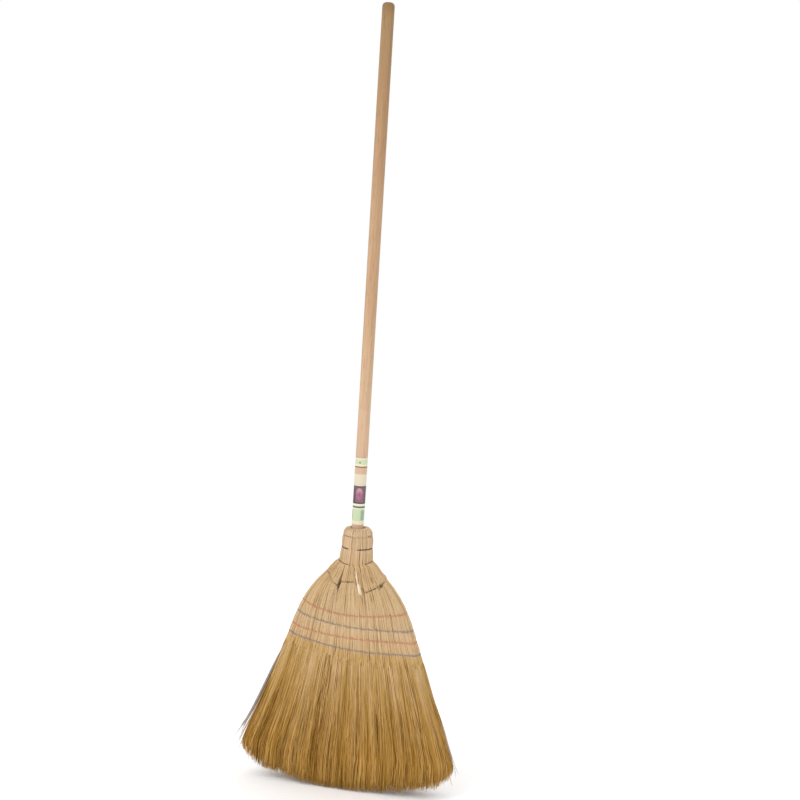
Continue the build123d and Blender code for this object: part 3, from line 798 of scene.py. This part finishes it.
def free_tier(count, clumps, depth_hi, r_top, pull, points=20, z_hi=338.0, z_lo=296.0, tone_mid=0.5, ragged=2.8, spread=1.0, tone_dev=0.17):
    n = count
    a0 = rng.uniform(0, 1, n)
    ca = (np.arange(clumps) + rng.uniform(-0.3, 0.3, clumps)) / clumps
    near = np.round(a0 * clumps - 0.0).astype(int) % clumps
    da = (ca[near] - a0 + 0.5) % 1.0 - 0.5
    cdepth = rng.uniform(-1.8, 3.6, clumps)[near]
    ctone = rng.normal(0, 0.15, clumps)[near]
    ctip = rng.normal(0, 1.1, clumps)[near]
    cl = wavy(clumps, rng, 2, 0.3, 1.1)
    tufts = 58
    ta = (np.arange(tufts) + rng.uniform(-0.35, 0.35, tufts)) / tufts
    tn = np.round(a0 * tufts).astype(int) % tufts
    dt = (ta[tn] - a0 + 0.5) % 1.0 - 0.5
    ttone = TUFT_TONE[tn]
    tdepth = TUFT_DEPTH[tn]
    zt = rng.uniform(z_lo, z_hi, n)
    xt, _, _, _ = ring(a0, np.full(n, 60.0))
    ze = tip_edge(xt) + ctip + rng.exponential(ragged, n) - 2.0
    shorter = rng.uniform(0, 1, n) < 0.10
    ze = np.where(shorter, ze + rng.uniform(10, 60, n), ze)
    t = np.linspace(0, 1, points)[None, :].repeat(n, 0)
    z = zt[:, None] + (ze - zt)[:, None] * t
    out = np.clip((255.0 - z) / 250.0, 0, 1)          # 0 at the last row, 1 at the tips
    w1 = wavy(n, rng, 3, 0.3, 1.6)
    w2 = wavy(n, rng, 2, 2.0, 4.5)
    clw = cl(np.linspace(0, 1, points)[None, :].repeat(clumps, 0))[near]
    slope = rng.normal(0, 1, n)[:, None]
    side_mm = spread * (out * (3.0 * slope + 2.0 * w1(t)) + 0.5 * w2(t) * np.sqrt(out) + 2.4 * clw * out)
    a = a0[:, None] + (da[:, None] * pull + dt[:, None] * 0.22 * out) * out + side_mm / perimeter(z)
    x, y, nx, ny = ring(a, z)
    d = relief(x, y, z)
    rise = np.clip((row_z("stitch_row_4_blue", x) - 3.0 - z) / 16.0, 0, 1)
    rise = rise * rise * (3 - 2 * rise)
    base_in = rng.uniform(0.0, depth_hi, n)[:, None]
    depth = (1 - rise) * (4.5 + base_in) + rise * (base_in * (0.35 + 0.65 * out) - 0.6) + (cdepth + tdepth)[:, None] * out
    depth = depth + out * 1.6 * w1(t + 0.37)
    off = d * (1 - rise) - depth
    # deep straws move towards the middle of the thickness, not past it
    lim = -0.92 * np.abs(y)
    oy = np.maximum(off * np.abs(ny), lim)
    px, py = x + nx * np.maximum(off, -12.0), y + np.sign(y) * oy
    px = np.clip(px, -203.0, 203.0)
    z = np.maximum(z, 0.7)
    P = np.stack([px, py, z], -1) * MM
    N = np.stack([nx, ny, np.zeros_like(nx)], -1)
    r = r_top * rng.uniform(0.7, 1.25, n)[:, None] * (1.0 - 0.45 * out) * np.clip(0.30 + (1 - t) * 9.0, 0.30, 1.0)
    tone = np.clip(rng.normal(tone_mid, tone_dev, n) + ctone + ttone, 0.05, 0.80)
    pick = rng.uniform(0, 1, n)
    tone = np.where(pick > 0.95, rng.uniform(0.868, 0.93, n), tone)
    tone = np.where(pick < 0.05, rng.uniform(0.70, 0.80, n), tone)
    v = tone_v(x, z)

    def maker(idx):
        return tubes(P[idx], r[idx] * MM, N[idx], 3, tone[idx] * 0.985, 0.008, v[idx], 1.0, rng.uniform(0, 2.0, len(idx)))

    by_sheaf("free_straw_", a0, maker)


# the deeper tiers get darker tones (0.62, 0.42, 0.30): painted shade, so the gaps between the outer straws read dark
free_tier(1500, 170, 2.6, 1.00, 0.75, tone_mid=0.62, tone_dev=0.21)
free_tier(2300, 110, 8.0, 0.92, 0.65, tone_mid=0.42)
free_tier(1700, 60, 22.0, 0.95, 0.40, points=14, tone_mid=0.30)
free_tier(700, 300, 0.4, 0.82, 0.10, tone_mid=0.60, ragged=12.0, spread=1.7, tone_dev=0.26)

# straw ends inside the brush, seen from below
n = 2600
sx = rng.uniform(-1, 1, n)
sy = rng.uniform(-1, 1, n)
ok = (np.abs(sx) ** 3 + np.abs(sy) ** 3) < 0.93
sx, sy = sx[ok], sy[ok]
n = len(sx)
x_tip = sx * 192.0
y_tip = sy * 30.0
ze = tip_edge(x_tip) + rng.exponential(5.0, n)
zt = ze + rng.uniform(45, 80, n)
t = np.linspace(0, 1, 5)[None, :].repeat(n, 0)
z = zt[:, None] + (ze - zt)[:, None] * t
lean = 1.0 - 0.0019 * (z - ze[:, None])
jx, jy = rng.normal(0, 1.2, n)[:, None], rng.normal(0, 1.2, n)[:, None]
P = np.stack([x_tip[:, None] * lean + jx * t, y_tip[:, None] * (0.85 + 0.15 * t) + jy * t, np.maximum(z, 0.7)], -1) * MM
N = np.zeros_like(P)
N[..., 1] = 1.0
r = rng.uniform(0.5, 0.9, n)[:, None] * np.clip(0.5 + (1 - t) * 2, 0.5, 1.0)
tone = np.clip(rng.normal(0.36, 0.14, n), 0.05, 0.8)
v = np.clip(z / 1000.0 / UV_TOP, 0.002, 0.998)
PIECES.setdefault("free_straw_front_center", [])
for nm, mask in (
    ("front_left", (x_tip < -72) & (y_tip < 0)), ("front_center", (np.abs(x_tip) <= 72) & (y_tip < 0)),
    ("front_right", (x_tip > 72) & (y_tip < 0)), ("back_left", (x_tip < -72) & (y_tip >= 0)),
    ("back_center", (np.abs(x_tip) <= 72) & (y_tip >= 0)), ("back_right", (x_tip > 72) & (y_tip >= 0)),
):
    idx = np.nonzero(mask)[0]
    PIECES["free_straw_" + nm].append(tubes(P[idx], r[idx] * MM, N[idx], 3, tone[idx] * 0.985, 0.008, v[idx]))

# stray straws that stand off the edges
STRAYS = [
    ("free_straw_front_left", 0.60, 0.75, [(-170, -8, 140), (-185, -9, 104), (-197, -10, 70), (-204, -11, 46)]),
    ("free_straw_front_left", 0.99, 0.75, [(-174, 2, 128), (-188, 3, 92), (-199, 4, 64), (-205, 5, 48)]),
    ("free_straw_back_left", 0.72, 0.70, [(-172, 10, 130), (-187, 12, 94), (-198, 13, 66), (-204, 14, 50)]),
    ("free_straw_front_left", 0.99, 0.95, [(-129, -8, 252), (-147, -9, 214), (-170, -10, 157), (-194, -11, 103), (-211, -12, 73)]),
    ("free_straw_front_left", 0.985, 0.85, [(-134, 0, 240), (-155, 0, 190), (-178, 1, 134), (-196, 1, 96), (-206, 2, 76)]),
    ("free_straw_back_left", 0.99, 0.80, [(-131, 6, 246), (-153, 8, 196), (-177, 10, 138), (-196, 12, 99), (-207, 13, 81)]),
    ("free_straw_front_left", 0.985, 0.70, [(-168, -4, 150), (-186, -5, 106), (-199, -6, 76), (-207, -6, 55)]),
    ("free_straw_front_left", 0.60, 0.60, [(-150, -12, 190), (-172, -14, 138), (-190, -16, 96), (-204, -17, 66)]),
    ("free_straw_front_left", 0.99, 1.0, [(-124, -6, 262), (-134, -7, 240), (-152, -8, 197), (-175, -9, 140), (-198, -10, 94), (-213, -11, 70)]),
    ("free_straw_front_left", 0.985, 0.95, [(-128, -3, 250), (-150, -4, 205), (-172, -5, 148), (-192, -6, 108), (-205, -7, 88)]),
    ("free_straw_front_left", 0.985, 0.80, [(-138, 2, 225), (-160, 2, 176), (-182, 3, 124), (-198, 4, 92), (-206, 5, 70)]),
    ("free_straw_front_left", 0.99, 0.75, [(-160, -8, 165), (-180, -9, 118), (-195, -10, 84), (-206, -11, 60)]),
    ("free_straw_front_left", 0.72, 0.55, [(-165, 6, 150), (-186, 8, 104), (-201, 9, 68), (-207, 10, 47)]),
    ("free_straw_front_right", 0.99, 0.60, [(176, -8, 140), (190, -9, 104), (202, -10, 74), (213, -11, 52)]),
    ("free_straw_front_right", 0.98, 0.50, [(184, -4, 110), (197, -5, 76), (206, -6, 56), (208, -6, 43)]),
    ("free_straw_front_right", 0.55, 0.50, [(180, -12, 90), (192, -14, 58), (201, -15, 40), (204, -16, 30)]),
]
for nm, tone_, rad, pts in STRAYS:
    pts = np.array(pts, float)
    s = np.linspace(0, len(pts) - 1, 26)
    c = [np.interp(s, np.arange(len(pts)), pts[:, i]) for i in range(3)]
    k = np.array([0.25, 0.5, 0.25])
    for _ in range(6):
        for q in c:
            q[1:-1] = np.convolve(q, k, "same")[1:-1]
    P = np.stack(c, -1)[None] * MM
    N = np.zeros_like(P)
    N[..., 1] = -1.0
    tt = np.linspace(0, 1, 26)[None]
    r = rad * np.clip(0.35 + (1 - tt) * 2.0, 0.35, 1.0)
    v = np.clip(P[..., 2] / UV_TOP, 0.002, 0.998)
    PIECES[nm].append(tubes(P, r * MM, N, 4, np.array([tone_ * 0.985]), 0.008, v))



def set_over(verts):
    """The straw head sits a little to the right of the stick's own line."""
    z = verts[:, 2]
    near = np.clip((np.hypot(verts[:, 0], verts[:, 1]) - 0.0115) / 0.008, 0, 1)
    share = np.where(z > 0.470, near, 1.0)
    verts = verts.copy()
    verts[:, 0] += MM * np.interp(z * 1000.0, OVER_Z, OVER_X) * share
    return verts


for nm, parts in sorted(PIECES.items()):
    vs, fs, us = join(parts)
    vs = set_over(vs)
    cover = nm.startswith("cover")
    o = build(nm, vs, fs, us, M_COVER if cover else M_FREE)
    node = nm.replace("cover_straw_", "outer_sheaf_").replace("free_straw_", "bristles_")
    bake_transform(o)
    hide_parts(node)

# ------------------------------------------------- packed straw underneath, dark as painted shade


def bed(name, z_hi, bottom, inset, cols, step):
    """A closed, grooved body of packed straw under the cover. Its dark colour is painted shade for the gaps between the
    straws above it.
    """
    zs = np.arange(z_hi, 20.0, -step)
    a = np.arange(cols) / cols
    groove = rng.uniform(-0.5, 0.5, cols)
    rows = []
    for z in zs:
        zz = np.full(cols, z)
        x, y, nx, ny = ring(a, zz)
        d = relief(x, y, zz) * 0.8
        off = d + groove - inset(z)
        rows.append(np.stack([x + nx * off, y + ny * off, zz], -1))
    V = np.array(rows)
    # the lower end follows the tip line
    zb = tip_edge(V[..., 0]) + bottom
    V[..., 2] = np.maximum(V[..., 2], zb)
    m = len(zs)
    verts = np.concatenate([V.reshape(-1, 3), [[0, 0, z_hi]], [[0, 0, bottom + 6.0]]]) * MM
    i = np.arange(m - 1)[:, None] * cols
    k = np.arange(cols)[None, :]
    k2 = (k + 1) % cols
    quads = np.stack(np.broadcast_arrays(i + k, i + cols + k, i + cols + k2, i + k2), -1).reshape(-1, 4)
    # low tones: painted shade, seen in the gaps between the cover and free straws
    tone = np.clip(rng.normal(0.27, 0.08, cols), 0.03, 0.5)
    vv = np.clip(V[..., 2] / 1000.0 / UV_TOP, 0.002, 0.998)
    ua = np.broadcast_to(tone[None, :], (m - 1, cols))
    uvq = np.stack([
        np.stack([ua, vv[:-1]], -1), np.stack([ua, vv[1:]], -1),
        np.stack([ua + 0.008, np.roll(vv[1:], -1, 1)], -1), np.stack([ua + 0.008, np.roll(vv[:-1], -1, 1)], -1),
    ], 2).reshape(-1, 4, 2)
    kk = np.arange(cols)
    kn = (kk + 1) % cols
    top = np.stack([kk, kn, np.full(cols, m * cols)], -1)
    low = (m - 1) * cols
    bot = np.stack([low + kn, low + kk, np.full(cols, m * cols + 1)], -1)
    uvt = np.zeros((cols, 3, 2))
    uvt[:, :, 0], uvt[:, :, 1] = 0.1, 0.97
    uvb = np.zeros((cols, 3, 2))
    uvb[:, :, 0], uvb[:, :, 1] = 0.05, 0.05
    return build(name, set_over(verts), [quads, top, bot], [uvq, uvt, uvb], M_BED)


core = bed("packed_straw", 484.0, 22.0, lambda z: 2.1 + 4.0 * np.clip((250 - z) / 60.0, 0, 1) + 5.0 * np.clip((190 - z) / 190.0, 0, 1), 480, 4.0)
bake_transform(core)
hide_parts("core_bundle", "shoulder_bundle_left", "shoulder_bundle_right")

# ---------------------------------------------------- twine, cord, thread


def plies(path, ups, ply_r, off, pitch, sides=6, count=2, taper=False):
    """Two or more plies twisted along a path. path (m,3) in mm."""
    d = np.linalg.norm(np.diff(path, axis=0), axis=1)
    s = np.concatenate([[0], np.cumsum(d)])
    m = max(6, int(s[-1] / 0.9))
    q = np.linspace(0, s[-1], m)
    P = np.stack([np.interp(q, s, path[:, i]) for i in range(3)], -1)
    N = np.stack([np.interp(q, s, ups[:, i]) for i in range(3)], -1)
    T = np.gradient(P, axis=0)
    T /= np.linalg.norm(T, axis=1, keepdims=True) + 1e-9
    B = np.cross(T, N)
    B /= np.linalg.norm(B, axis=1, keepdims=True) + 1e-9
    N = np.cross(B, T)
    out = []
    for c in range(count):
        ph = q / pitch * 2 * math.pi + c * 2 * math.pi / count
        C = P + off * (np.cos(ph)[:, None] * N + np.sin(ph)[:, None] * B)
        up = np.cos(ph)[:, None] * N + np.sin(ph)[:, None] * B
        r = np.full(m, ply_r)
        if taper:
            r = r * np.clip(np.minimum(q, s[-1] - q) / 1.2 + 0.5, 0.5, 1.0)
        v = np.clip((q % 200.0) / 200.0, 0.001, 0.999)
        out.append(tubes(C[None] * MM, r[None] * MM, up[None], sides, np.array([0.02 + 0.48 * c]), 0.46, v[None]))
    return join(out)


def on_surface(xs, zs, facing, lift):
    """Points on the sewn straw at x, z, lifted by lift mm. facing -1 is the front."""
    xs, zs = np.asarray(xs, float), np.asarray(zs, float)
    w = half_width(zs)
    t = np.interp(zs, GZ, RT)
    n = np.interp(zs, GZ, RN)
    share = np.clip(np.abs(xs) / w, 0, 0.9999)
    y = facing * t * (1 - share ** n) ** (1 / n)
    nx = np.sign(xs) * (share ** (n - 1)) / w
    ny = np.sign(y) * (np.abs(y) / t) ** (n - 1) / t
    ln = np.hypot(nx, ny)
    nx, ny = nx / ln, ny / ln
    off = relief(xs, y + facing * 1e-6, zs) + lift
    return np.stack([xs + nx * off, y + ny * off, zs], -1), np.stack([nx, ny, np.zeros_like(nx)], -1)


# dark twine round the neck: a turn and a bit, with its end tucked under
HIDDEN = {"neck_tie_upper": ((0.048, 0.088), (0.42, 0.05)), "neck_tie_middle": ((0.985, 0.050), (0.55, 0.04)),
          "neck_tie_lower": ((0.051, 0.076), (0.60, 0.05))}    # where straw has slipped over the twine
for (name, zt), turns, rise in zip(TIES.items(), (1.06, 1.9, 1.25), (1.0, 1.6, 2.2)):
    a = np.linspace(0, turns, int(190 * turns))
    share = (a + 0.37) % 1.0
    wob = 0.5 * np.sin(a * 2 * math.pi * 1.0 + zt) + 0.25 * np.sin(a * 2 * math.pi * 3.0 + 1.3 * zt)
    x, y, _, _ = ring(share, np.full(len(a), zt))
    z = tie_z(name, x, y) - rise * (a / turns - 0.5) + wob
    x, y, nx, ny = ring(share, z)
    off = relief(x, y, z) + 1.10 - 2.6 * np.exp(-a * 40) - 2.6 * np.exp(-(turns - a) * 40)
    for at, wide in HIDDEN[name]:
        gap = np.abs((share - at + 0.5) % 1.0 - 0.5)
        off -= (1.7 if name == "neck_tie_middle" else 2.5) * np.exp(-(gap / wide) ** 4)
    path = np.stack([x + nx * off, y + ny * off, z], -1)
    vs, fs, us = plies(path, np.stack([nx, ny, 0 * nx], -1), 0.46, 0.40, 4.2)
    o = build(name + "_twine", set_over(vs), fs, us, M_TWINE)
    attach(o, "broom")
    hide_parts(name)

# the knotted cord across the shoulders, front and back
parts = []
for facing in (-1.0, 1.0):
    line = CORD.copy()
    seg = np.linalg.norm(np.diff(line, axis=0), axis=1)
    s = np.concatenate([[0], np.cumsum(seg)])
    q = np.arange(0, s[-1], 1.0)
    xs, zs = np.interp(q, s, line[:, 0]), np.interp(q, s, line[:, 1])
    k = np.array([0.25, 0.5, 0.25])
    for _ in range(3):
        xs[1:-1], zs[1:-1] = np.convolve(xs, k, "same")[1:-1], np.convolve(zs, k, "same")[1:-1]
    lift = np.full(len(q), 1.25) + 0.25 * np.sin(q * 0.35)
    # it runs under the flap of the right lobe
    lift -= 4.0 * np.exp(-((xs - 16.0) / 9.0) ** 4)
    P, N = on_surface(xs, zs, facing, lift)
    parts.append(plies(P, N, 0.50, 0.42, 4.6))
    for kx, kz in ((-24.0, 380.5), (53.0, 387.5)):
        tt = np.linspace(0, 2 * math.pi * 3.1, 72)
        ux = kx + 1.9 * np.cos(tt) * (1 + 0.15 * np.sin(tt * 0.4))
        uz = kz + 1.5 * np.sin(tt) + 0.5 * np.sin(tt * 0.37)
        P, N = on_surface(ux, uz, facing, 1.9 + 0.9 * np.sin(tt * 0.5))
        parts.append(plies(P, N, 0.55, 0.46, 4.6))
        tail_x = kx - np.linspace(0, 2.5, 8)
        tail_z = kz - np.linspace(0, 6.0, 8)
        P, N = on_surface(tail_x, tail_z, facing, 2.0 - 0.08 * np.arange(8))
        parts.append(plies(P, N, 0.42, 0.36, 4.6, taper=True))
vs, fs, us = join(parts)
o = build("shoulder_cord_twine", set_over(vs), fs, us, M_CORD)
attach(o, "broom")
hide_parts("shoulder_cord")

# sewing: slanted stitches along each row, front and back, and over both edges
for name in ROWS:
    parts = []
    mat = M_RED if name.endswith("red") else M_BLUE
    low_z = min(z for _, z in ROWS[name])
    reach_l = 0.965 * float(half_width(row_z(name, -half_width(low_z + 15.0))))
    reach_r = 0.965 * float(half_width(row_z(name, half_width(low_z + 5.0))))
    for facing in (-1.0, 1.0):
        x = -reach_l
        while x < reach_r - 4.0:
            step = rng.uniform(13.0, 17.5)
            if x + step > reach_r - 6.0:
                step = reach_r - x
            x0, x1 = x, x + step + 0.4
            x += step
            t = np.linspace(0, 1, 18)
            xs = x0 + (x1 - x0) * t
            zs = row_z(name, xs)
            zs = zs + 1.5 * (0.5 - t) + rng.normal(0, 0.22)
            lift = -0.9 + 2.5 * np.clip(np.sin(t * math.pi), 0, 1) ** 0.30 + rng.uniform(-0.2, 0.2)
            P, N = on_surface(xs, zs, facing, lift)
            parts.append(plies(P, N, 0.50, 0.44, 4.2, taper=True))
    for sgn in (-1.0, 1.0):
        # over the edge, from the front row to the back row
        th = np.linspace(0.0, 1.0, 34)
        zz = row_z(name, sgn * half_width(row_z(name, sgn * 112.0))) + 0.5 * np.sin(th * 9.0)
        aa = 0.25 + (th - 0.5) * 0.095 if sgn > 0 else 0.75 - (th - 0.5) * 0.095
        x, y, nx, ny = ring(aa, zz)
        off = relief(x, y, zz) + 1.5 - 2.0 * (np.exp(-th * 30) + np.exp(-(1 - th) * 30))
        P = np.stack([x + nx * off, y + ny * off, zz], -1)
        parts.append(plies(P, np.stack([nx, ny, 0 * nx], -1), 0.50, 0.44, 4.2, taper=True))
    vs, fs, us = join(parts)
    o = build(name.replace("stitch_row", "stitches"), set_over(vs), fs, us, mat)
    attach(o, "broom")
    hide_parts(name)

# ------------------------------------------------------------------ label
cols, rows_ = 120, 62
th = np.linspace(0, 2 * math.pi, cols + 1)
zz = np.linspace(LABEL_Z0, LABEL_Z1, rows_)
T, Zg = np.meshgrid(th, zz)
wr = 0.00004 * np.sin(T * 3 + Zg * 190) + 0.00005 * np.sin(T * 5 - Zg * 90 + 1.0)
edge_lift = 0.00018 * (np.exp(-(Zg - LABEL_Z0) / 0.002) + np.exp(-(LABEL_Z1 - Zg) / 0.002)) * (0.5 + 0.5 * np.sin(T * 2 + 0.7))
rad = 0.01106 + wr + edge_lift + 0.00016 * (T / (2 * math.pi))     # the end laps over the start at the back
ang = T + math.pi / 2                                               # the lap is at the back
Xo, Yo = rad * np.cos(ang), rad * np.sin(ang)
ri = rad - 0.00022
outer = np.stack([Xo, Yo, Zg], -1)
inner = np.stack([ri * np.cos(ang), ri * np.sin(ang), Zg], -1)
nv = (cols + 1) * rows_
verts = np.concatenate([outer.reshape(-1, 3), inner.reshape(-1, 3)])
i = np.arange(rows_ - 1)[:, None] * (cols + 1)
k = np.arange(cols)[None, :]
q_out = np.stack([i + k, i + k + 1, i + cols + 1 + k + 1, i + cols + 1 + k], -1).reshape(-1, 4)
q_in = q_out[:, ::-1] + nv
bot = np.arange(cols)
q_bot = np.stack([bot + nv, bot + nv + 1, bot + 1, bot], -1)
top = (rows_ - 1) * (cols + 1) + bot
q_top = np.stack([top, top + 1, top + nv + 1, top + nv], -1)
e0 = np.arange(rows_ - 1) * (cols + 1)
q_s = np.stack([e0, e0 + cols + 1, e0 + cols + 1 + nv, e0 + nv], -1)
e1 = e0 + cols
q_e = np.stack([e1 + nv, e1 + nv + cols + 1, e1 + cols + 1, e1], -1)
quads = np.concatenate([q_out, q_in, q_bot, q_top, q_s, q_e])
ug = (T / (2 * math.pi)).ravel()
vg = ((Zg - LABEL_Z0) / (LABEL_Z1 - LABEL_Z0)).ravel()
per_vert = np.stack([np.concatenate([ug, ug]), np.clip(np.concatenate([vg, vg]), 0.002, 0.998)], -1)
label = build("label_wrap", verts, [quads], [per_vert[quads]], label_material())
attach(label, "broom")
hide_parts("handle_label")

# ------------------------------------------- CAD pieces that stay as they are


def paint(node, mat):
    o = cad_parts[node]
    o.data.materials.clear()
    o.data.materials.append(mat)


paint("handle_shaft", wood_material())
steel = Nodes("tack_steel", 0.42, 0.5)
steel.bsdf.inputs["Metallic"].default_value = 0.9
sn = steel.noise(steel.mapped(steel.obj(), (900, 900, 900)), 1.0, 3.0)
steel.base(steel.mix("MIX", steel.rng(sn, 0.35, 0.7, 0, 1), lin("8A8783"), lin("6B5A48")))
paint("binding_tack_upper", steel.mat)
paint("binding_tack_lower", steel.mat)
wrap = Nodes("inner_twine", 0.8, 0.2)
wn = wrap.noise(wrap.mapped(wrap.obj(), (700, 700, 2400)), 1.0, 4.0)
wrap.base(wrap.mix("MIX", wrap.rng(wn, 0.35, 0.7, 0, 1), lin("4A3924"), lin("77603F")))
wrap.bump(wn, 0.3, 0.0003)
paint("inner_binding", wrap.mat)

# ------------------------------------------------------- floor and lights
floor_mesh = bpy.data.meshes.new("floor")
R = 14.0
ring_v = [(R * math.cos(i / 64 * 2 * math.pi), R * math.sin(i / 64 * 2 * math.pi), -0.0004) for i in range(64)]
floor_mesh.from_pydata(ring_v, [], [list(range(64))])
floor = bpy.data.objects.new("floor", floor_mesh)
bpy.context.scene.collection.objects.link(floor)
fm = Nodes("floor_paint", 0.75, 0.15)
fn = fm.noise(fm.mapped(fm.obj(), (3.0, 3.0, 3.0)), 1.0, 4.0)
fm.base(fm.mix("MIX", fm.rng(fn, 0.3, 0.7, 0, 1), (0.90, 0.90, 0.90, 1), (0.92, 0.92, 0.92, 1)))
fx, fy, _ = fm.xyz(fm.obj())
away = fm.math("SQRT", fm.math("ADD", fm.math("POWER", fx, 2.0), fm.math("POWER", fy, 2.0)))
fm.link(fm.rng(away, 0.9, 3.2, 1.0, 0.0, True), fm.bsdf.inputs["Alpha"])
fm.bsdf.inputs["Emission Color"].default_value = (1.0, 0.995, 0.985, 1)
fm.bsdf.inputs["Emission Strength"].default_value = 0.06
floor_mesh.materials.append(fm.mat)

world = bpy.data.worlds.new("world")
bpy.context.scene.world = world
world.use_nodes = True
world.node_tree.nodes["Background"].inputs[0].default_value = (1.0, 1.0, 1.0, 1)
world.node_tree.nodes["Background"].inputs[1].default_value = 1.0


def area(name, where, target, size, watts, colour=(1, 1, 1)):
    d = bpy.data.lights.new(name, "AREA")
    d.shape = "DISK"
    d.size = size
    d.energy = watts
    d.color = colour
    o = bpy.data.objects.new(name, d)
    o.location = where
    o.rotation_euler = (Vector(target) - Vector(where)).to_track_quat("-Z", "Y").to_euler()
    bpy.context.scene.collection.objects.link(o)
    return o


area("key", (-1.6, -2.6, 2.9), (0, 0, 0.55), 1.6, 46.0, (1.0, 0.985, 0.96))
area("fill", (2.4, -2.0, 1.6), (0, 0, 0.5), 2.2, 8.0)
area("back", (1.0, 2.6, 2.4), (0, 0, 0.7), 2.0, 20.0)

bpy.context.scene.view_settings.view_transform = "Standard"
bpy.context.scene.view_settings.look = "None"
